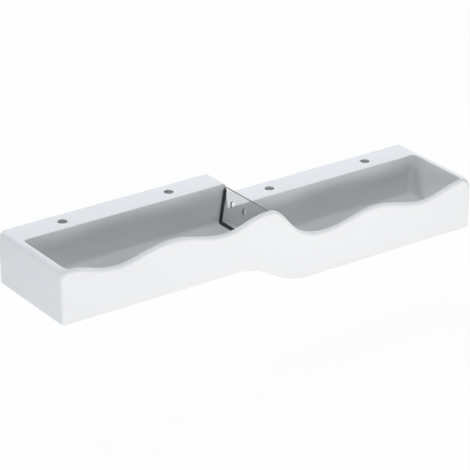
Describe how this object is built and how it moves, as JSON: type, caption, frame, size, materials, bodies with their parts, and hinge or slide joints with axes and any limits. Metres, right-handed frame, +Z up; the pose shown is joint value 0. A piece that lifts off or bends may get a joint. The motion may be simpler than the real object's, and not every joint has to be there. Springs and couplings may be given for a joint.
{
  "type": "trough sink",
  "caption": "Wall-hung two-level trough washbasin for small children, with a wave-shaped front, tap holes, a clear lift-out dam with overflow holes and one waste.",
  "frame": {"origin": "middle of the line of wall fixings, on the wall plane", "axes": "+X along the wall towards the lower trough, +Y into the wall, +Z up"},
  "size_m": [1.8, 0.415, 0.3],
  "materials": {
    "mineral": "silky white mineral solid surface",
    "clear_pane": "clear polished acrylic",
    "dark_rubber": "matt",
    "bright_metal": "polished",
    "zinc": "zinc plated"
  },
  "bodies": {
    "sink": {"wave_front": "mineral", "left_end": "mineral", "right_end": "mineral", "upper_deck": "mineral", "lower_deck": "mineral", "upper_tray": "mineral", "lower_tray": "mineral", "step_panel": "mineral", "upper_back_panel": "mineral", "lower_back_panel": "mineral", "dam_seal": "dark_rubber", "waste_rosette": "bright_metal", "waste_screw": "bright_metal", "rosette_seal": "dark_rubber", "waste_body": "bright_metal", "body_seal": "dark_rubber", "fixing_plates": "zinc", "plate_screws": "zinc"},
    "dam": {"dam_pane": "clear_pane"}
  },
  "joints": [
    {"name": "dam_slide", "type": "slide", "parent": "sink", "child": "dam", "axis": [0.3007, 0, 0.9537], "range_m": [0, 0.14]}
  ]
}
